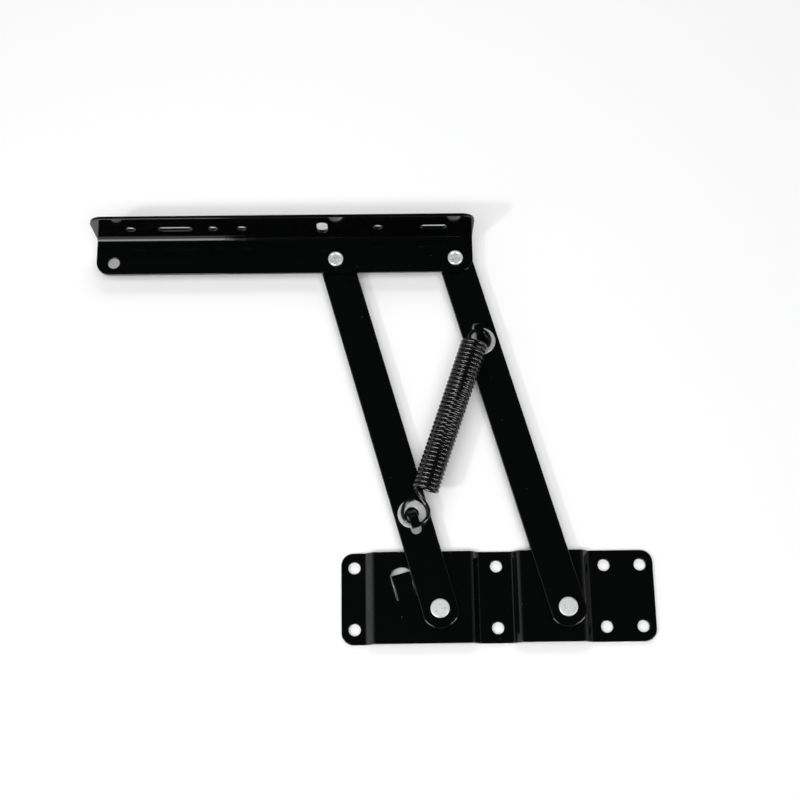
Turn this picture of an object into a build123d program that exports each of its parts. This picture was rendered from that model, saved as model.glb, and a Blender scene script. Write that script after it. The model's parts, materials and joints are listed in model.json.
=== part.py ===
"""Lift top table mechanism, one hand of a pair, in the raised position.

A joggled base plate is screwed to the inside of the table frame. Two equal flat arms are riveted to it
and to an angle bracket that carries the table top. Base plate, arms and bracket form a parallelogram,
so the bracket stays level while the top swings up and back. A tension spring between hook tongues on
the two arms helps to lift the top, and a lanced tongue in the base plate stops the front arm.

Millimetres. +Z is up, +X points to the rear end of the base plate. The base plate lies against the
frame in the plane Y = 0, and everything else stands in front of it, towards -Y. The origin is the
centre of the rectangle of the four outer screw holes. Depths are distances in front of Y = 0.
"""

import math
import os

from build123d import *

# Linkage
arm_length = 252.3
base_pivot_spacing = 83.3
raised_lean = 15.42
front_pivot_x = -38.8
base_pivot_z = -8.1

# Base plate
plate_length = 206.0
plate_height = 60.0
plate_thickness = 2.5
plate_corner_radius = 8.0
joggle_height = 5.0
joggle_run = 5.0
plate_bend_radius = 1.6
front_pad_ahead = 42.7
front_pad_behind = 20.9
rear_pad_ahead = 29.6
rear_pad_behind = 10.6
screw_hole_diameter = 8.0
hole_end_margin = 8.6
hole_row_spacing = 40.5
middle_hole_x = -0.8
rear_hole_x = 70.5

# Stop tongue lanced out of the front pad
stop_width = 12.6
stop_side_gap = 0.2
stop_root = 12.9
stop_reach = 16.0
stop_ramp = 10.2
stop_lift = 3.5
stop_slit = 0.7
stop_window_crown = 4.0

# Arms
arm_width = 23.6
arm_end_radius = 12.7
arm_thickness = 3.0
edge_round = 0.7

# Hook tongue lanced out of each arm: its place is the distance from the near pivot to the wire it holds
lower_hook_place = 58.0
upper_hook_place = 56.0
hook_tip_ahead = 3.7
hook_window_ahead = 7.1
hook_width = 6.0
hook_tip_round = 1.4
hook_slit = 0.6
hook_bend_radius = 1.8
hook_seat = 0.7

# Angle bracket
bracket_thickness = 2.0
bracket_ahead = 166.2
bracket_behind = 12.2
flange_drop = 9.8
flange_rise = 18.4
leg_reach = 34.5
bracket_bend_radius = 2.5
flange_corner_radius = 9.5
leg_corner_radius = 9.0
leg_hole_diameter = 6.5
leg_hole_places = (-140.3, -83.8, -64.0, 29.6)
leg_slot_width = 6.0
long_slot_place = -109.8
long_slot_length = 23.3
short_slot_place = 67.9
short_slot_length = 18.4
cross_slot_place = -8.7
cross_slot_width = 7.4
cross_slot_length = 16.5
end_hole_place = -154.2
end_hole_drop = 1.2
end_hole_diameter = 8.2

# Rivets and washers
rivet_diameter = 8.0
pivot_play = 0.05
pivot_washer_diameter = 18.0
pivot_washer_thickness = 0.9
base_head_diameter = 12.4
base_head_height = 2.0
base_tail_diameter = 11.5
base_tail_height = 1.8
top_head_diameter = 10.4
top_head_height = 2.0
top_dish_diameter = 7.0
top_dish_depth = 0.5
top_tail_diameter = 13.0
top_tail_height = 1.8
head_chamfer = 0.5
spring_washer_diameter = 18.8
spring_washer_hole = 9.4
spring_washer_thickness = 0.9

# Spring
wire_diameter = 2.5
coil_diameter = 18.2
coil_pitch = 3.0
coil_start = 21.4
upper_neck_room = 13.0
lower_loop_radius = 8.65
upper_loop_radius = 7.4
loop_overhang = 1.3
loop_offset = 1.9
loop_gap = 0.2
coil_gap = 0.1
loop_end_angle = 115.0
lower_entry_angle = 50.0
upper_entry_angle = -20.0

# Depths of the layers
pad_front = joggle_height + plate_thickness
washer_gap = pivot_washer_thickness + 2 * pivot_play
arm_back = pad_front + washer_gap
arm_front = arm_back + arm_thickness
flange_back = arm_front + washer_gap
flange_front = flange_back + bracket_thickness
spring_washer_front = arm_front + spring_washer_thickness
loop_depth = spring_washer_front + loop_gap + wire_diameter / 2
hook_under = loop_depth + wire_diameter / 2 + loop_gap
coil_radius = (coil_diameter - wire_diameter) / 2
coil_depth = loop_depth + wire_diameter + coil_gap + coil_radius

# Pivots in the raised position
half_turn = 180
lean = math.radians(raised_lean)
along_x = -math.sin(lean)
along_z = math.cos(lean)
rear_pivot_x = front_pivot_x + base_pivot_spacing
top_pivot_z = base_pivot_z + arm_length * along_z
front_top_x = front_pivot_x + arm_length * along_x
rear_top_x = rear_pivot_x + arm_length * along_x


def facing_plane(x, z, turn=0.0):
    """Plane facing the viewer at a pivot: its X lies across an arm, its Y along it, its Z is depth."""
    angle = math.radians(turn)
    return Plane(
        origin=(x, 0, z),
        x_dir=(math.cos(angle), 0, math.sin(angle)),
        z_dir=(0, -1, 0),
    )


def edge_on_plane(plane, across):
    """Plane square to an arm's plane: its X lies along the arm, its Y is depth, its Z points across."""
    return Plane(
        origin=plane.from_local_coords((across, 0, 0)),
        x_dir=plane.y_dir,
        z_dir=plane.x_dir,
    )


front_arm_plane = facing_plane(front_pivot_x, base_pivot_z, raised_lean)
rear_arm_plane = facing_plane(rear_top_x, top_pivot_z, raised_lean + half_turn)


def bent_strip(points, inside_radius, thickness):
    """Draw the section of a bent strip in the open sketch, from the corners of its middle line."""
    with BuildLine() as middle:
        FilletPolyline(*points, radius=inside_radius + thickness / 2)
    trace(middle.edges(), line_width=thickness)


def round_edges(part, plane, low, high, radius):
    """Round the rim edges of a flat stamping on its side that lies between two depths of a plane."""
    rim = [e for e in part.edges() if low < plane.to_local_coords(e.center()).Z < high]
    fillet(rim, radius=radius)


# Base plate: a strip joggled forward at both pivots, so that the rivet tails clear the frame
plate_end = plate_length / 2
front_pad = (front_pivot_x - front_pad_ahead, front_pivot_x + front_pad_behind)
rear_pad = (rear_pivot_x - rear_pad_ahead, rear_pivot_x + rear_pad_behind)
foot_middle = plate_thickness / 2
pad_middle = joggle_height + plate_thickness / 2
plate_path = [(-plate_end, -foot_middle)]
for pad_start, pad_end in (front_pad, rear_pad):
    plate_path += [
        (pad_start - joggle_run, -foot_middle),
        (pad_start, -pad_middle),
        (pad_end, -pad_middle),
        (pad_end + joggle_run, -foot_middle),
    ]
plate_path += [(plate_end, -foot_middle)]
stop_right = -arm_width / 2 - stop_side_gap
stop_left = stop_right - stop_width
stop_tip = stop_root + stop_reach
outer_hole_spacing = plate_length - 2 * hole_end_margin

with BuildPart() as base_plate:
    with BuildSketch(Plane.XY.offset(-plate_height / 2)):
        bent_strip(plate_path, plate_bend_radius, plate_thickness)
    extrude(amount=plate_height)
    end_edges = base_plate.edges().filter_by(Axis.Y)
    fillet(end_edges.group_by(Axis.X)[0] + end_edges.group_by(Axis.X)[-1], radius=plate_corner_radius)
    with BuildSketch(Plane.XZ):
        with GridLocations(outer_hole_spacing, hole_row_spacing, 2, 2):
            Circle(screw_hole_diameter / 2)
        for hole_x in (middle_hole_x, rear_hole_x):
            with Locations((hole_x, 0)):
                with GridLocations(0, hole_row_spacing, 1, 2):
                    Circle(screw_hole_diameter / 2)
        with Locations((front_pivot_x, base_pivot_z), (rear_pivot_x, base_pivot_z)):
            Circle(rivet_diameter / 2)
    extrude(amount=pad_front, mode=Mode.SUBTRACT)
    with BuildSketch(front_arm_plane):
        with BuildLine():
            window_left = stop_left - stop_slit
            window_right = stop_right + stop_slit
            window_top = stop_tip + stop_slit
            Polyline(
                (window_left, window_top),
                (window_left, stop_root),
                (window_right, stop_root),
                (window_right, window_top),
            )
            ThreePointArc(
                (window_right, window_top),
                ((stop_left + stop_right) / 2, window_top + stop_window_crown),
                (window_left, window_top),
            )
        make_face()
    extrude(amount=pad_front, mode=Mode.SUBTRACT)
    with BuildSketch(edge_on_plane(front_arm_plane, stop_left)):
        bent_strip(
            [
                (stop_root - plate_thickness, pad_middle),
                (stop_root, pad_middle),
                (stop_root + stop_ramp, pad_middle + stop_lift),
                (stop_tip, pad_middle + stop_lift),
            ],
            plate_bend_radius,
            plate_thickness,
        )
    extrude(amount=stop_width)
base_plate.part.label = "base_plate"


# Angle bracket: the flange hangs in front of the arms, the leg on top of it carries the table top
bracket_length = bracket_ahead + base_pivot_spacing + bracket_behind
bracket_left = front_top_x - bracket_ahead
leg_top = top_pivot_z + flange_rise
leg_under = leg_top - bracket_thickness
leg_edge = flange_front + leg_reach
leg_row_depth = (flange_front + leg_edge) / 2

with BuildPart() as top_bracket:
    with BuildSketch(Plane(origin=(bracket_left, 0, 0), x_dir=(0, 1, 0), z_dir=(1, 0, 0))):
        bent_strip(
            [
                (-leg_edge, leg_under + bracket_thickness / 2),
                (-flange_back - bracket_thickness / 2, leg_under + bracket_thickness / 2),
                (-flange_back - bracket_thickness / 2, top_pivot_z - flange_drop),
            ],
            bracket_bend_radius,
            bracket_thickness,
        )
    extrude(amount=bracket_length)
    flange_corners = top_bracket.edges().filter_by(Axis.Y).group_by(Axis.Z)[0]
    fillet(flange_corners, radius=flange_corner_radius)
    leg_corners = top_bracket.edges().filter_by(Axis.Z).group_by(Axis.Y)[0]
    fillet(leg_corners, radius=leg_corner_radius)
    with BuildSketch(Plane.XZ):
        with Locations((front_top_x, top_pivot_z), (rear_top_x, top_pivot_z)):
            Circle(rivet_diameter / 2)
        with Locations((front_top_x + end_hole_place, top_pivot_z - end_hole_drop)):
            Circle(end_hole_diameter / 2)
    extrude(amount=flange_front, mode=Mode.SUBTRACT)
    with BuildSketch(Plane.XY.offset(leg_under)):
        for place in leg_hole_places:
            with Locations((front_top_x + place, -leg_row_depth)):
                Circle(leg_hole_diameter / 2)
        with Locations((front_top_x + long_slot_place, -leg_row_depth)):
            SlotOverall(long_slot_length, leg_slot_width)
        with Locations((front_top_x + short_slot_place, -leg_row_depth)):
            SlotOverall(short_slot_length, leg_slot_width)
        with Locations((front_top_x + cross_slot_place, -leg_row_depth)):
            SlotOverall(cross_slot_length, cross_slot_width, rotation=90)
    extrude(amount=bracket_thickness, mode=Mode.SUBTRACT)
top_bracket.part.label = "top_bracket"


# Arms: one flat stamping used twice, the rear one turned end for end
arm_middle = arm_back + arm_thickness / 2
hook_middle = hook_under + arm_thickness / 2
hook_rise = hook_middle - arm_middle
hook_crook_behind = wire_diameter / 2 + hook_seat
hook_foot_behind = hook_crook_behind + hook_rise


def make_arm(near_plane, hook_place, label):
    """Cut the arm out of flat bar from its near pivot and press its hook tongue forward."""
    near_face = near_plane.offset(arm_back)
    hook_tip = hook_place - hook_tip_ahead
    hook_window_end = hook_place - hook_window_ahead
    hook_foot = hook_place + hook_foot_behind
    with BuildPart() as arm:
        with BuildSketch(near_face):
            with Locations((0, arm_length / 2)):
                SlotCenterToCenter(arm_length, 2 * arm_end_radius, rotation=90)
                Rectangle(arm_width, arm_length + 2 * arm_end_radius, mode=Mode.INTERSECT)
        extrude(amount=arm_thickness)
        round_edges(arm, near_plane, arm_front - edge_round / 2, arm_front + edge_round / 2, edge_round)
        with BuildSketch(near_face):
            with Locations((0, 0), (0, arm_length)):
                Circle(rivet_diameter / 2 + pivot_play)
            window_width = hook_width + 2 * hook_slit
            with Locations((0, (hook_window_end + hook_foot) / 2)):
                SlotOverall(hook_foot - hook_window_end, window_width, rotation=90)
        extrude(amount=arm_thickness, mode=Mode.SUBTRACT)
        with BuildSketch(edge_on_plane(near_plane, -hook_width / 2)):
            bent_strip(
                [
                    (hook_tip, hook_middle),
                    (hook_place + hook_crook_behind, hook_middle),
                    (hook_foot, arm_middle),
                    (hook_foot + arm_thickness, arm_middle),
                ],
                hook_bend_radius,
                arm_thickness,
            )
        extrude(amount=hook_width)
        tip_corners = arm.edges().filter_by(Axis.Y).filter_by(
            lambda e: near_plane.to_local_coords(e.center()).Z > arm_front
        )
        fillet(tip_corners, radius=hook_tip_round)
    arm.part.label = label
    return arm


front_arm = make_arm(front_arm_plane, lower_hook_place, "front_arm")
rear_arm = make_arm(rear_arm_plane, upper_hook_place, "rear_arm")


# Rivets: the shank fills the plate or the flange, and the arm turns on it between washers
def make_rivet(x, z, head_front, head_height, head_diameter, tail_front, tail_height, tail_diameter, dish, label):
    """Turn a rivet about its pivot: a head in front, a shank, and a tail closed behind the tail's seat."""
    head_radius = head_diameter / 2
    tail_radius = tail_diameter / 2
    tail_chamfer = tail_height / 2
    head_face = [(0, -head_front)]
    if dish:
        head_face = [
            (0, -head_front + dish),
            (top_dish_diameter / 2, -head_front + dish),
            (top_dish_diameter / 2 + dish, -head_front),
        ]
    with BuildPart() as rivet:
        with BuildSketch(Plane(origin=(x, 0, z), x_dir=(1, 0, 0), z_dir=(0, 0, 1))):
            with BuildLine():
                Polyline(
                    *head_face,
                    (head_radius - head_chamfer, -head_front),
                    (head_radius, -head_front + head_chamfer),
                    (head_radius, -head_front + head_height),
                    (rivet_diameter / 2, -head_front + head_height),
                    (rivet_diameter / 2, -tail_front),
                    (tail_radius, -tail_front),
                    (tail_radius, -tail_front + tail_height - tail_chamfer),
                    (tail_radius - tail_chamfer, -tail_front + tail_height),
                    (0, -tail_front + tail_height),
                    close=True,
                )
            make_face()
        revolve(axis=Axis((x, 0, z), (0, 1, 0)))
    rivet.part.label = label
    return rivet


def make_washer(plane, front, thickness, diameter, hole, place, label):
    """Punch a round washer whose front face stands at a depth of the given plane."""
    with BuildPart() as washer:
        with BuildSketch(plane.offset(front - thickness)):
            with Locations(place):
                Circle(diameter / 2)
                Circle(hole / 2, mode=Mode.SUBTRACT)
        extrude(amount=thickness)
    washer.part.label = label
    return washer


base_rivet_sizes = (
    arm_front + base_head_height,
    base_head_height,
    base_head_diameter,
    joggle_height,
    base_tail_height,
    base_tail_diameter,
    0,
)
top_rivet_sizes = (
    flange_front + top_head_height,
    top_head_height,
    top_head_diameter,
    arm_back,
    top_tail_height,
    top_tail_diameter,
    top_dish_depth,
)
front_base_rivet = make_rivet(front_pivot_x, base_pivot_z, *base_rivet_sizes, "front_base_rivet")
rear_base_rivet = make_rivet(rear_pivot_x, base_pivot_z, *base_rivet_sizes, "rear_base_rivet")
front_top_rivet = make_rivet(front_top_x, top_pivot_z, *top_rivet_sizes, "front_top_rivet")
rear_top_rivet = make_rivet(rear_top_x, top_pivot_z, *top_rivet_sizes, "rear_top_rivet")

pivot_washer_hole = rivet_diameter + 2 * pivot_play
base_washer_front = pad_front + pivot_play + pivot_washer_thickness
top_washer_front = arm_front + pivot_play + pivot_washer_thickness
pivot_washers = [
    make_washer(
        facing_plane(x, z),
        front,
        pivot_washer_thickness,
        pivot_washer_diameter,
        pivot_washer_hole,
        (0, 0),
        label,
    )
    for x, z, front, label in (
        (front_pivot_x, base_pivot_z, base_washer_front, "front_base_washer"),
        (rear_pivot_x, base_pivot_z, base_washer_front, "rear_base_washer"),
        (front_top_x, top_pivot_z, top_washer_front, "front_top_washer"),
        (rear_top_x, top_pivot_z, top_washer_front, "rear_top_washer"),
    )
]

# Spring washers: each lies on its arm round the hook tongue, under the loop of the spring
washer_behind = hook_foot_behind - arm_thickness / 2 - spring_washer_thickness / 2
spring_washers = [
    make_washer(
        plane,
        spring_washer_front,
        spring_washer_thickness,
        spring_washer_diameter,
        spring_washer_hole,
        (0, hook_place + washer_behind),
        label,
    )
    for plane, hook_place, label in (
        (front_arm_plane, lower_hook_place, "lower_spring_washer"),
        (rear_arm_plane, upper_hook_place, "upper_spring_washer"),
    )
]

# Spring: a right-handed coil in front of the arms, with a full loop turned back at each end
lower_hinge = front_arm_plane.from_local_coords((0, lower_hook_place, 0))
upper_hinge = rear_arm_plane.from_local_coords((0, upper_hook_place, 0))
spring_axis = (upper_hinge - lower_hinge).normalized()
spring_length = (upper_hinge - lower_hinge).length
coil_room = spring_length - coil_start - upper_neck_room
coil_turns = math.floor(coil_room / coil_pitch - 0.5) + 0.5
coil_height = coil_turns * coil_pitch
coil_wire_side = wire_diameter / math.sqrt(2)
coil_slope = coil_pitch / (2 * math.pi * coil_radius)


def spring_frame(hinge, axis):
    """Frame of one end of the spring: origin on the coil's line beside the hinge, Z towards the coil."""
    return Plane(
        origin=(hinge.X, -coil_depth, hinge.Z),
        x_dir=(axis.Z, 0, -axis.X),
        z_dir=axis,
    )


def sweep_loop(frame, coil_end, loop_radius, entry_angle):
    """Sweep the wire from the end of the coil back to the loop plane and round the loop, in the open part."""
    loop_plane = Plane(
        origin=frame.from_local_coords((-loop_offset, coil_depth - loop_depth, loop_radius - loop_overhang)),
        x_dir=frame.x_dir,
        z_dir=(0, -1, 0),
    )
    with BuildLine() as wire_line:
        with BuildLine(loop_plane):
            loop = CenterArc((0, 0), loop_radius, entry_angle, loop_end_angle - 360 - entry_angle)
        add(loop)
        neck_start = frame.from_local_coords((-coil_radius, 0, coil_end))
        wire_end = (frame.y_dir - frame.z_dir * coil_slope).normalized()
        neck = Spline(neck_start, loop @ 0, tangents=(wire_end, loop % 0))
    with BuildSketch(Plane(origin=neck @ 0, z_dir=neck % 0)) as wire_section:
        Circle(wire_diameter / 2)
    sweep(sections=wire_section.sketch, path=wire_line.wires()[0])


lower_frame = spring_frame(lower_hinge, spring_axis)
upper_frame = spring_frame(upper_hinge, -spring_axis)
coil_plane = Plane(
    origin=lower_frame.from_local_coords((0, 0, coil_start)),
    x_dir=-lower_frame.x_dir,
    z_dir=lower_frame.z_dir,
)
coil_path = coil_plane.from_local_coords(Edge.make_helix(coil_pitch, coil_height, coil_radius))
with BuildPart() as tension_spring:
    with BuildSketch(Plane(origin=coil_path @ 0, x_dir=coil_plane.x_dir, z_dir=coil_path % 0)):
        Rectangle(coil_wire_side, coil_wire_side, rotation=45)
    sweep(path=coil_path, is_frenet=True)
    sweep_loop(lower_frame, coil_start, lower_loop_radius, lower_entry_angle)
tension_spring.part.label = "tension_spring"

with BuildPart() as spring_upper_loop:
    upper_coil_end = spring_length - coil_start - coil_height
    sweep_loop(upper_frame, upper_coil_end, upper_loop_radius, upper_entry_angle)
spring_upper_loop.part.label = "spring_upper_loop"


parts = [base_plate, top_bracket, front_arm, rear_arm]
parts += [front_base_rivet, rear_base_rivet, front_top_rivet, rear_top_rivet]
parts += pivot_washers + spring_washers + [tension_spring, spring_upper_loop]
os.makedirs("parts", exist_ok=True)
for piece in parts:
    export_step(piece.part, "parts/" + piece.part.label + ".step")
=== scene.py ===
import json
import math

import bpy
import numpy as np
from mathutils import Matrix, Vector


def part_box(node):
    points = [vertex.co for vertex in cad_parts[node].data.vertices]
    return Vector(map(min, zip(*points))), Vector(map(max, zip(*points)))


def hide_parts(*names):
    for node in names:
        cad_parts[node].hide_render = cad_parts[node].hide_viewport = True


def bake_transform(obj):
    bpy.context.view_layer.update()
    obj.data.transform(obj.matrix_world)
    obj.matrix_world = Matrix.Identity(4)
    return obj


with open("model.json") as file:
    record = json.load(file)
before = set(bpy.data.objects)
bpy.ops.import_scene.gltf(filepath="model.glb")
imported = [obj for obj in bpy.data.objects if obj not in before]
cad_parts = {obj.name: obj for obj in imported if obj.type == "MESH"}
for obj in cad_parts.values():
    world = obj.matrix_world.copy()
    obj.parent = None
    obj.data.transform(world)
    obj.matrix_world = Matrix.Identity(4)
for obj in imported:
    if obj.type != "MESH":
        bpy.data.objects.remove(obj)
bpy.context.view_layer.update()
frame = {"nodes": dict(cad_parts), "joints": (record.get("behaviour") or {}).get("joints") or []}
joints = {joint["name"]: joint for joint in frame["joints"]}


# The mechanism lies on a white work top, with its base plate and arms flat along it. The work top is
# a wide sheet just behind the plate's feet, and a pale floor lies under the plate's lower edge.
# Both show only their front, so that the object is seen from behind and from below as well.
TABLE_GAP = 0.0004
TABLE_HALF = 3.0
FLOOR_GAP = 0.0006
FLOOR_HALF = 4.0
TABLE_WHITE = (0.93, 0.93, 0.935, 1)
FLOOR_WHITE = (0.86, 0.86, 0.865, 1)


def one_sided_white(name, colour):
    """Matt white on the side that the normals point to, and clear from the other side."""
    material = bpy.data.materials.new(name)
    material.use_nodes = True
    tree = material.node_tree
    tree.nodes.clear()
    output = tree.nodes.new("ShaderNodeOutputMaterial")
    choice = tree.nodes.new("ShaderNodeMixShader")
    side = tree.nodes.new("ShaderNodeNewGeometry")
    matt = tree.nodes.new("ShaderNodeBsdfDiffuse")
    clear = tree.nodes.new("ShaderNodeBsdfTransparent")
    matt.inputs["Color"].default_value = colour
    tree.links.new(side.outputs["Backfacing"], choice.inputs["Fac"])
    tree.links.new(matt.outputs["BSDF"], choice.inputs[1])
    tree.links.new(clear.outputs["BSDF"], choice.inputs[2])
    tree.links.new(choice.outputs["Shader"], output.inputs["Surface"])
    return material


def stage_sheet(name, corners, material):
    """A flat sheet with four corners, listed anticlockwise as seen from the side that shows."""
    mesh = bpy.data.meshes.new(name)
    mesh.from_pydata(corners, [], [(0, 1, 2, 3)])
    mesh.materials.append(material)
    sheet = bpy.data.objects.new(name, mesh)
    bpy.context.scene.collection.objects.link(sheet)
    sheet.visible_shadow = False
    return sheet


plate_low, plate_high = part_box("base_plate")
table_y = plate_high.y + TABLE_GAP
stage_sheet(
    "work_top",
    [
        (-TABLE_HALF, table_y, -TABLE_HALF),
        (TABLE_HALF, table_y, -TABLE_HALF),
        (TABLE_HALF, table_y, TABLE_HALF),
        (-TABLE_HALF, table_y, TABLE_HALF),
    ],
    one_sided_white("work_top_white", TABLE_WHITE),
)
floor_z = plate_low.z - FLOOR_GAP
floor = stage_sheet(
    "floor",
    [
        (-FLOOR_HALF, -FLOOR_HALF, floor_z),
        (FLOOR_HALF, -FLOOR_HALF, floor_z),
        (FLOOR_HALF, FLOOR_HALF, floor_z),
        (-FLOOR_HALF, FLOOR_HALF, floor_z),
    ],
    one_sided_white("floor_white", FLOOR_WHITE),
)
floor.visible_diffuse = False
floor.visible_glossy = False


# The picture is taken from above the work top and a little below the base plate, looking up along
# the arms, so that the underside of the bracket's leg shows. Place and aim are in the part's frame.
CAMERA_PLACE = (-0.07572, -0.88857, -0.12816)
CAMERA_RIGHT = (0.99983032, -0.01035953, -0.01523196)
CAMERA_UP = (0.01163846, -0.28568622, 0.95825254)
CAMERA_LENS = 60.75
CAMERA_SENSOR = 36.0
CAMERA_NEAREST = 0.01

camera_data = bpy.data.cameras.new("camera")
camera_data.lens = CAMERA_LENS
camera_data.sensor_width = CAMERA_SENSOR
camera_data.clip_start = CAMERA_NEAREST
camera = bpy.data.objects.new("camera", camera_data)
bpy.context.scene.collection.objects.link(camera)
camera_back = np.cross(CAMERA_RIGHT, CAMERA_UP)
aim = Matrix((CAMERA_RIGHT, CAMERA_UP, camera_back)).transposed().to_4x4()
camera.matrix_world = Matrix.Translation(CAMERA_PLACE) @ aim
bpy.context.scene.camera = camera


# A small lamp at the lower left throws a short shadow up and to the right, and broad soft lamps on
# the camera's side and from behind fill it. A window at the left and a strip at the right show only
# as glints in paint and wire. The room mirrors bright from the left, dim from the right, else dark.
OBJECT_MIDDLE = (-0.05, 0, 0.12)
WINDOW_PLACE = (-0.76, -0.32, -0.65)
WINDOW_TARGET = (-0.76, 0, 0.21)
WORLD_PALE = 0.94
ROOM_TONES = (
    (-1.0, 0.8),
    (-0.82, 0.5),
    (-0.5, 0.09),
    (-0.2, 0.012),
    (0.4, 0.01),
    (0.75, 0.15),
    (1.0, 0.35),
)


def lamp(name, place, target, size, watts, glossy=False, diffuse=True):
    """Rectangular area lamp that faces the target, seen in gloss only where that is asked for."""
    data = bpy.data.lights.new(name, "AREA")
    data.shape = "RECTANGLE"
    data.size, data.size_y = size
    data.energy = watts
    light = bpy.data.objects.new(name, data)
    bpy.context.scene.collection.objects.link(light)
    toward = np.array(target) - np.array(place)
    ahead = toward / np.linalg.norm(toward)
    side = np.cross(ahead, (0, 0, 1))
    side /= np.linalg.norm(side)
    aim = Matrix((side, np.cross(side, ahead), -ahead)).transposed().to_4x4()
    light.matrix_world = Matrix.Translation(place) @ aim
    light.visible_glossy = glossy
    light.visible_diffuse = diffuse


def room_world(name, pale, tones):
    """Plain pale room for the camera. Other rays see a tone that follows their sideways direction.

    Each tone goes with a direction's X, from -1 at the left to 1 at the right, and eases to the next.
    """
    world = bpy.data.worlds.new(name)
    world.use_nodes = True
    tree = world.node_tree
    tree.nodes.clear()
    output = tree.nodes.new("ShaderNodeOutputWorld")
    rays = tree.nodes.new("ShaderNodeLightPath")
    choice = tree.nodes.new("ShaderNodeMixShader")
    mirrored = tree.nodes.new("ShaderNodeBackground")
    backdrop = tree.nodes.new("ShaderNodeBackground")
    direction = tree.nodes.new("ShaderNodeTexCoord")
    sideways = tree.nodes.new("ShaderNodeSeparateXYZ")
    spread = tree.nodes.new("ShaderNodeMapRange")
    ramp = tree.nodes.new("ShaderNodeValToRGB")
    backdrop.inputs["Color"].default_value = (pale, pale, pale, 1)
    spread.inputs["From Min"].default_value = -1.0
    ramp.color_ramp.interpolation = "EASE"
    for place, tone in tones[1:-1]:
        ramp.color_ramp.elements.new((place + 1) / 2)
    for stop, (place, tone) in zip(ramp.color_ramp.elements, tones):
        stop.position = (place + 1) / 2
        stop.color = (tone, tone, tone, 1)
    tree.links.new(direction.outputs["Generated"], sideways.inputs["Vector"])
    tree.links.new(sideways.outputs["X"], spread.inputs["Value"])
    tree.links.new(spread.outputs["Result"], ramp.inputs["Fac"])
    tree.links.new(ramp.outputs["Color"], mirrored.inputs["Color"])
    tree.links.new(rays.outputs["Is Camera Ray"], choice.inputs["Fac"])
    tree.links.new(mirrored.outputs["Background"], choice.inputs[1])
    tree.links.new(backdrop.outputs["Background"], choice.inputs[2])
    tree.links.new(choice.outputs["Shader"], output.inputs["Surface"])
    return world


lamp("key", (-0.72, -1.05, -0.38), OBJECT_MIDDLE, size=(0.09, 0.09), watts=3.6, glossy=True)
lamp("front", (-0.1, -1.78, -0.38), OBJECT_MIDDLE, size=(1.5, 1.2), watts=27)
lamp("ceiling", (0.1, -1.5, 1.3), OBJECT_MIDDLE, size=(1.2, 0.8), watts=10)
lamp("behind", (0.5, 1.3, 1.1), OBJECT_MIDDLE, size=(1.0, 1.0), watts=12)
lamp(
    "window", WINDOW_PLACE, WINDOW_TARGET, size=(0.94, 1.3), watts=25, glossy=True, diffuse=False
)
lamp(
    "strip",
    (0.85, -0.75, -0.5),
    OBJECT_MIDDLE,
    size=(1.1, 0.16),
    watts=14,
    glossy=True,
    diffuse=False,
)
bpy.context.scene.world = room_world("room", WORLD_PALE, ROOM_TONES)
bpy.context.scene.view_settings.view_transform = "Standard"


# Base plate, arms and bracket are pressed from steel and dipped in thick gloss black paint. The paint
# has a faint orange peel, rounds off the sharp edges, and holds a few specks of dust.
PAINT_BLACK = (0.0016, 0.0019, 0.0019, 1)
PAINT_DUST = (0.11, 0.11, 0.105, 1)
PAINT_IOR = 1.5
PAINT_ROUGHNESS = 0.045
DULL_PAINT_ROUGHNESS = 0.095
PAINT_EDGE = 0.0009
EDGE_SAMPLES = 6
PEEL_SCALE = 260.0
WAVE_SCALE = PEEL_SCALE / 6
WAVE_WEIGHT = 4.0
PEEL_STRENGTH = 0.5
PEEL_DEPTH = 0.00004
DUST_SCALE = 330.0
DUST_RADIUS = 0.07
CLEAN_SHARE = 0.93


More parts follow.
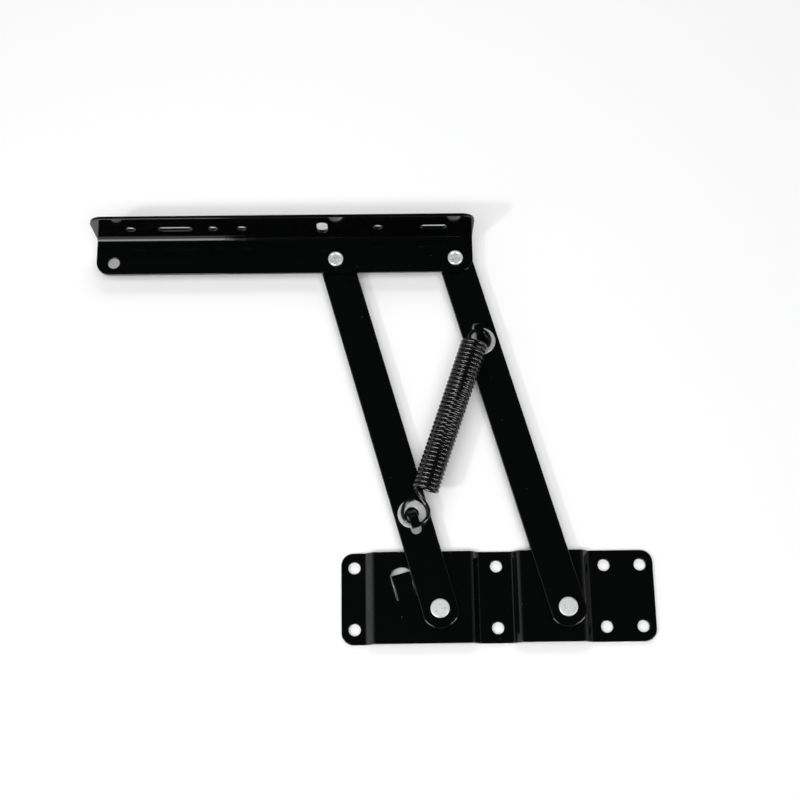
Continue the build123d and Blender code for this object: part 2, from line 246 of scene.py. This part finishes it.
def gloss_paint(name):
    """Gloss black paint with orange peel and dust.

    The peel's height is a fine noise plus four times a broad one, over normals that are rounded near
    edges. Dust is a small disc at the middle of those few Voronoi cells whose random tint is high.
    """
    material = bpy.data.materials.new(name)
    material.use_nodes = True
    tree = material.node_tree
    shader = tree.nodes["Principled BSDF"]
    shader.inputs["IOR"].default_value = PAINT_IOR
    place = tree.nodes.new("ShaderNodeTexCoord")
    peel = tree.nodes.new("ShaderNodeTexNoise")
    peel.inputs["Scale"].default_value = PEEL_SCALE
    peel.inputs["Detail"].default_value = 1.0
    waves = tree.nodes.new("ShaderNodeTexNoise")
    waves.inputs["Scale"].default_value = WAVE_SCALE
    waves.inputs["Detail"].default_value = 2.0
    height = tree.nodes.new("ShaderNodeMath")
    height.operation = "MULTIPLY_ADD"
    height.inputs[1].default_value = WAVE_WEIGHT
    edge = tree.nodes.new("ShaderNodeBevel")
    edge.samples = EDGE_SAMPLES
    edge.inputs["Radius"].default_value = PAINT_EDGE
    bump = tree.nodes.new("ShaderNodeBump")
    bump.inputs["Strength"].default_value = PEEL_STRENGTH
    bump.inputs["Distance"].default_value = PEEL_DEPTH
    cells = tree.nodes.new("ShaderNodeTexVoronoi")
    cells.inputs["Scale"].default_value = DUST_SCALE
    near = tree.nodes.new("ShaderNodeMath")
    near.operation = "LESS_THAN"
    near.inputs[1].default_value = DUST_RADIUS
    tint = tree.nodes.new("ShaderNodeSeparateColor")
    chosen = tree.nodes.new("ShaderNodeMath")
    chosen.operation = "GREATER_THAN"
    chosen.inputs[1].default_value = CLEAN_SHARE
    speck = tree.nodes.new("ShaderNodeMath")
    speck.operation = "MULTIPLY"
    colour = tree.nodes.new("ShaderNodeMix")
    colour.data_type = "RGBA"
    colour.inputs["A"].default_value = PAINT_BLACK
    colour.inputs["B"].default_value = PAINT_DUST
    dull = tree.nodes.new("ShaderNodeMapRange")
    dull.inputs["To Min"].default_value = PAINT_ROUGHNESS
    dull.inputs["To Max"].default_value = DULL_PAINT_ROUGHNESS
    for texture in (peel, waves, cells):
        tree.links.new(place.outputs["Object"], texture.inputs["Vector"])
    tree.links.new(waves.outputs["Fac"], height.inputs[0])
    tree.links.new(peel.outputs["Fac"], height.inputs[2])
    tree.links.new(height.outputs["Value"], bump.inputs["Height"])
    tree.links.new(edge.outputs["Normal"], bump.inputs["Normal"])
    tree.links.new(bump.outputs["Normal"], shader.inputs["Normal"])
    tree.links.new(cells.outputs["Distance"], near.inputs[0])
    tree.links.new(cells.outputs["Color"], tint.inputs["Color"])
    tree.links.new(tint.outputs["Red"], chosen.inputs[0])
    tree.links.new(near.outputs["Value"], speck.inputs[0])
    tree.links.new(chosen.outputs["Value"], speck.inputs[1])
    tree.links.new(speck.outputs["Value"], colour.inputs["Factor"])
    tree.links.new(colour.outputs["Result"], shader.inputs["Base Color"])
    tree.links.new(waves.outputs["Fac"], dull.inputs["Value"])
    tree.links.new(dull.outputs["Result"], shader.inputs["Roughness"])
    return material


def dress(node, material):
    """Give a node of the frame its finish."""
    part = frame["nodes"][node]
    part.data.materials.clear()
    part.data.materials.append(material)


black_paint = gloss_paint("gloss_black_paint")
for stamping in ("base_plate", "front_arm", "rear_arm", "top_bracket"):
    dress(stamping, black_paint)


# Rivets: zinc plated steel, set cold. The base heads were pressed flat and are dull with faint stains.
# The top heads were rolled over with a turning tool, which left a bright ring round a rough dish.
ZINC_PALE = (0.68, 0.69, 0.7, 1)
ZINC_STAIN = (0.5, 0.5, 0.5, 1)
ZINC_BRIGHT = (0.84, 0.85, 0.86, 1)
ZINC_DARK = (0.13, 0.13, 0.13, 1)
ZINC_METAL = 0.45
ZINC_DENT = 0.7
GRAIN_DETAIL = 5.0
STAIN_START = 0.52
STAIN_FULL = 0.66
STAIN_DULLING = 0.15
RIM_WIDTH = 0.0006
DISH_RADIUS = 0.0033
DISH_FADE = 0.0004
PRESSED_ROUGHNESS = 0.42
PRESSED_GRAIN = 300.0
PRESSED_DEPTH = 0.0001
ROLLED_ROUGHNESS = 0.3
ROLLED_GRAIN = 950.0
ROLLED_DEPTH = 0.0003


def zinc(name, pale, dark, roughness, grain_scale, grain_depth, dish_middle=None):
    """Zinc plating: a pale grey that noise stains, dulls and dents where it rises above a threshold.

    Given the middle of a dish, only a disc round it across the rivet's axis is stained and dented.
    """
    material = bpy.data.materials.new(name)
    material.use_nodes = True
    tree = material.node_tree
    shader = tree.nodes["Principled BSDF"]
    shader.inputs["Metallic"].default_value = ZINC_METAL
    place = tree.nodes.new("ShaderNodeTexCoord")
    grain = tree.nodes.new("ShaderNodeTexNoise")
    grain.inputs["Scale"].default_value = grain_scale
    grain.inputs["Detail"].default_value = GRAIN_DETAIL
    stain = tree.nodes.new("ShaderNodeMapRange")
    stain.interpolation_type = "SMOOTHSTEP"
    stain.inputs["From Min"].default_value = STAIN_START
    stain.inputs["From Max"].default_value = STAIN_FULL
    tree.links.new(place.outputs["Object"], grain.inputs["Vector"])
    tree.links.new(grain.outputs["Fac"], stain.inputs["Value"])
    rough = stain.outputs["Result"]
    if dish_middle is not None:
        across = tree.nodes.new("ShaderNodeVectorMath")
        across.operation = "MULTIPLY"
        across.inputs[1].default_value = (1, 0, 1)
        away = tree.nodes.new("ShaderNodeVectorMath")
        away.operation = "DISTANCE"
        away.inputs[1].default_value = (dish_middle.x, 0, dish_middle.z)
        inside = tree.nodes.new("ShaderNodeMapRange")
        inside.inputs["From Min"].default_value = DISH_RADIUS
        inside.inputs["From Max"].default_value = DISH_RADIUS - DISH_FADE
        share = tree.nodes.new("ShaderNodeMath")
        share.operation = "MULTIPLY"
        tree.links.new(place.outputs["Object"], across.inputs[0])
        tree.links.new(across.outputs["Vector"], away.inputs[0])
        tree.links.new(away.outputs["Value"], inside.inputs["Value"])
        tree.links.new(inside.outputs["Result"], share.inputs[0])
        tree.links.new(rough, share.inputs[1])
        rough = share.outputs["Value"]
    tint = tree.nodes.new("ShaderNodeMix")
    tint.data_type = "RGBA"
    tint.inputs["A"].default_value = pale
    tint.inputs["B"].default_value = dark
    dull = tree.nodes.new("ShaderNodeMapRange")
    dull.inputs["To Min"].default_value = roughness
    dull.inputs["To Max"].default_value = roughness + STAIN_DULLING
    edge = tree.nodes.new("ShaderNodeBevel")
    edge.samples = EDGE_SAMPLES
    edge.inputs["Radius"].default_value = RIM_WIDTH
    bump = tree.nodes.new("ShaderNodeBump")
    bump.inputs["Strength"].default_value = ZINC_DENT
    bump.inputs["Distance"].default_value = grain_depth
    tree.links.new(rough, tint.inputs["Factor"])
    tree.links.new(tint.outputs["Result"], shader.inputs["Base Color"])
    tree.links.new(rough, dull.inputs["Value"])
    tree.links.new(dull.outputs["Result"], shader.inputs["Roughness"])
    tree.links.new(rough, bump.inputs["Height"])
    tree.links.new(edge.outputs["Normal"], bump.inputs["Normal"])
    tree.links.new(bump.outputs["Normal"], shader.inputs["Normal"])
    return material


for end in ("front", "rear"):
    pressed_zinc = zinc(
        end + "_base_zinc",
        ZINC_PALE,
        ZINC_STAIN,
        PRESSED_ROUGHNESS,
        PRESSED_GRAIN,
        PRESSED_DEPTH,
    )
    dress(end + "_base_rivet", pressed_zinc)
    head_low, head_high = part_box(end + "_top_rivet")
    rolled_zinc = zinc(
        end + "_top_zinc",
        ZINC_BRIGHT,
        ZINC_DARK,
        ROLLED_ROUGHNESS,
        ROLLED_GRAIN,
        ROLLED_DEPTH,
        dish_middle=(head_low + head_high) / 2,
    )
    dress(end + "_top_rivet", rolled_zinc)


# Washers: thin steel rings, punched and zinc plated. Four sit on the rivets between the flat parts, and
# two lie under the spring's loops, where they keep the wire off the paint.
WASHER_ROUGHNESS = 0.3
WASHER_GRAIN = 300.0
WASHER_DEPTH = 0.00006

washer_zinc = zinc(
    "washer_zinc", ZINC_PALE, ZINC_STAIN, WASHER_ROUGHNESS, WASHER_GRAIN, WASHER_DEPTH
)
for washer in (
    "front_base_washer",
    "rear_base_washer",
    "front_top_washer",
    "rear_top_washer",
    "lower_spring_washer",
    "upper_spring_washer",
):
    dress(washer, washer_zinc)


# Spring: 2.5 mm music wire, wound close and right-handed, with a full loop turned back at each end
# that hangs on the hook tongue of an arm. The wire is oiled black and shows every turn as a glint.
WIRE_RADIUS = 0.00125
WIRE_SIDES = 18
CUT_END_RINGS = (0.02, 0.7, 0.93)
CUT_END_LENGTH = 0.25 * WIRE_RADIUS
COIL_RADIUS = 0.00785
COIL_DEPTH = 0.0243
COIL_START = 0.0214
COIL_PITCH = 0.003
COIL_TURNS = 35.5
STEPS_PER_TURN = 40
UPPER_HOOK_PLACE = 0.056
LOWER_LOOP_RADIUS = 0.00865
UPPER_LOOP_RADIUS = 0.0074
LOOP_OVERHANG = 0.0013
LOOP_OFFSET = 0.0019
LOWER_LOOP_ENTRY = 50.0
UPPER_LOOP_ENTRY = -20.0
LOOP_END = 115.0 - 360.0
LOOP_STEPS = 90
NECK_STEPS = 40
OIL_BLACK = (0.002, 0.002, 0.002, 1)
OIL_GREY = (0.008, 0.008, 0.008, 1)
OIL_SCALE = 260.0
OIL_DETAIL = 4.0
OILED_ROUGHNESS = 0.05
DRY_ROUGHNESS = 0.12
OIL_STRENGTH = 0.3
OIL_DEPTH = 0.000004


def loop_line(loop_radius, entry, coil_end, loop_depth):
    """One end of the spring in its own frame, from the coil to the free end of the loop.

    The frame has X across the coil, Y from the coil's line towards the arms and Z towards the coil.
    The neck is a cubic curve between the coil's last point and the loop, with the directions of both
    at its ends. The loop is a circle in the plane of the hook, run clockwise from the entry angle.
    Returns the points and, for each, the direction from the wire's middle that starts its section.
    """
    angle = np.radians(np.linspace(entry, LOOP_END, LOOP_STEPS))
    loop = np.stack(
        [
            loop_radius * np.cos(angle) - LOOP_OFFSET,
            np.full(angle.shape, COIL_DEPTH - loop_depth),
            loop_radius * (np.sin(angle) + 1) - LOOP_OVERHANG,
        ],
        axis=1,
    )
    slope = COIL_PITCH / (2 * math.pi * COIL_RADIUS)
    start = np.array([-COIL_RADIUS, 0.0, coil_end])
    leave = np.array([0.0, 1.0, -slope])
    arrive = np.array([math.sin(angle[0]), 0.0, -math.cos(angle[0])])
    chord = np.linalg.norm(loop[0] - start)
    t = np.linspace(0, 1, NECK_STEPS)[:, None]
    neck = (
        (2 * t**3 - 3 * t**2 + 1) * start
        + (t**3 - 2 * t**2 + t) * chord * leave
        + (3 * t**2 - 2 * t**3) * loop[0]
        + (t**3 - t**2) * chord * arrive
    )
    line = np.concatenate([neck[1:], loop[1:]])
    share = np.concatenate([t[1:, 0], np.ones(len(loop) - 1)])[:, None]
    section_start = (1 - share) * np.array([-1.0, 0, 0]) + share * np.array([0, -1.0, 0])
    return line, section_start


def place_line(line, section_start, hook, axis):
    """Turn an end of the spring from its own frame into the part's frame."""
    turn = np.array([[axis[2], 0, -axis[0]], [0, 1, 0], axis])
    origin = np.array([hook[0], -COIL_DEPTH, hook[2]])
    return line @ turn + origin, section_start @ turn


def round_wire(line, section_start):
    """Sweep a round wire along a line.

    Each point of the line carries a circle in the plane square to the line's direction, taken as the
    difference of its neighbours. The circle starts at the given direction, made square to the line.
    Three smaller circles past each end, the last one nearly a point, dome the cut end of the wire.
    """
    ahead = np.gradient(line, axis=0)
    ahead /= np.linalg.norm(ahead, axis=1)[:, None]
    first = section_start - (section_start * ahead).sum(1)[:, None] * ahead
    first /= np.linalg.norm(first, axis=1)[:, None]
    second = np.cross(ahead, first)
    cut = np.array(CUT_END_RINGS)
    foot = line[0] - ahead[0] * CUT_END_LENGTH * (1 - cut[:, None])
    tip = line[-1] + ahead[-1] * CUT_END_LENGTH * (1 - cut[::-1, None])
    middles = np.concatenate([foot, line, tip])
    radii = np.concatenate([cut, np.ones(len(line)), cut[::-1]]) * WIRE_RADIUS
    last = len(line) - 1
    along = np.concatenate([np.zeros(len(cut), int), np.arange(last + 1), np.full(len(cut), last)])
    angle = np.linspace(0, 2 * math.pi, WIRE_SIDES, endpoint=False)
    circle = (
        np.cos(angle)[None, :, None] * first[along][:, None, :]
        + np.sin(angle)[None, :, None] * second[along][:, None, :]
    )
    return middles[:, None, :] + radii[:, None, None] * circle


def wire_piece(name, points, material):
    """Make a piece from a grid of points whose rows are closed rings, with a flat face at each end."""
    rows, sides = points.shape[:2]
    row = np.arange(rows - 1)[:, None]
    side = np.arange(sides)[None, :]
    following = (side + 1) % sides
    faces = np.stack(
        [
            row * sides + side,
            row * sides + following,
            (row + 1) * sides + following,
            (row + 1) * sides + side,
        ],
        axis=2,
    ).reshape(-1, 4)
    foot = list(range(sides))[::-1]
    tip = list(range((rows - 1) * sides, rows * sides))
    mesh = bpy.data.meshes.new(name)
    mesh.from_pydata(points.reshape(-1, 3).tolist(), [], faces.tolist() + [foot, tip])
    mesh.materials.append(material)
    mesh.polygons.foreach_set("use_smooth", [True] * len(mesh.polygons))
    piece = bpy.data.objects.new(name, mesh)
    bpy.context.scene.collection.objects.link(piece)
    return piece


def oiled_wire(name):
    """Black oiled spring wire: dark and glossy, with greyer, duller patches where the oil is thin."""
    material = bpy.data.materials.new(name)
    material.use_nodes = True
    tree = material.node_tree
    shader = tree.nodes["Principled BSDF"]
    place = tree.nodes.new("ShaderNodeTexCoord")
    patches = tree.nodes.new("ShaderNodeTexNoise")
    patches.inputs["Scale"].default_value = OIL_SCALE
    patches.inputs["Detail"].default_value = OIL_DETAIL
    tint = tree.nodes.new("ShaderNodeMix")
    tint.data_type = "RGBA"
    tint.inputs["A"].default_value = OIL_BLACK
    tint.inputs["B"].default_value = OIL_GREY
    dull = tree.nodes.new("ShaderNodeMapRange")
    dull.inputs["To Min"].default_value = OILED_ROUGHNESS
    dull.inputs["To Max"].default_value = DRY_ROUGHNESS
    bump = tree.nodes.new("ShaderNodeBump")
    bump.inputs["Strength"].default_value = OIL_STRENGTH
    bump.inputs["Distance"].default_value = OIL_DEPTH
    tree.links.new(place.outputs["Object"], patches.inputs["Vector"])
    tree.links.new(patches.outputs["Fac"], tint.inputs["Factor"])
    tree.links.new(tint.outputs["Result"], shader.inputs["Base Color"])
    tree.links.new(patches.outputs["Fac"], dull.inputs["Value"])
    tree.links.new(dull.outputs["Result"], shader.inputs["Roughness"])
    tree.links.new(patches.outputs["Fac"], bump.inputs["Height"])
    tree.links.new(bump.outputs["Normal"], shader.inputs["Normal"])
    return material


front_base_pivot = np.array(joints["lift"]["pos_m"])
front_top_pivot = np.array(joints["front_top_pivot"]["pos_m"])
rear_base_pivot = np.array(joints["rear_base_pivot"]["pos_m"])
arm_line = (front_top_pivot - front_base_pivot) * np.array([1, 0, 1])
arm_length = np.linalg.norm(arm_line)
lower_hook = np.array(joints["lower_spring_hook"]["pos_m"])
upper_hook = rear_base_pivot + arm_line * (1 - UPPER_HOOK_PLACE / arm_length)
hook_distance = np.linalg.norm((upper_hook - lower_hook) * np.array([1, 0, 1]))
spring_axis = np.array(joints["spring_stretch"]["axis"])

coil_height = COIL_TURNS * COIL_PITCH
coil_foot = np.array([lower_hook[0], -COIL_DEPTH, lower_hook[2]]) + spring_axis * COIL_START
across = np.array([spring_axis[2], 0, -spring_axis[0]])
toward_viewer = np.array([0, -1.0, 0])
turned = np.linspace(0, COIL_TURNS, int(COIL_TURNS * STEPS_PER_TURN) + 1)[:, None]
outward = -np.cos(2 * math.pi * turned) * across + np.sin(2 * math.pi * turned) * toward_viewer
coil_line = coil_foot + spring_axis * COIL_PITCH * turned + COIL_RADIUS * outward

upper_coil_end = hook_distance - COIL_START - coil_height
lower_end = loop_line(LOWER_LOOP_RADIUS, LOWER_LOOP_ENTRY, COIL_START, -lower_hook[1])
upper_end = loop_line(UPPER_LOOP_RADIUS, UPPER_LOOP_ENTRY, upper_coil_end, -lower_hook[1])
lower_line, lower_start = place_line(*lower_end, lower_hook, spring_axis)
upper_line, upper_start = place_line(*upper_end, upper_hook, -spring_axis)
wire_line = np.concatenate([lower_line[::-1], coil_line, upper_line])
wire_start = np.concatenate([lower_start[::-1], outward, upper_start])
spring = wire_piece(
    "spring_wire", round_wire(wire_line, wire_start), oiled_wire("oiled_spring_wire")
)
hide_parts("tension_spring", "spring_upper_loop")
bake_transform(spring)
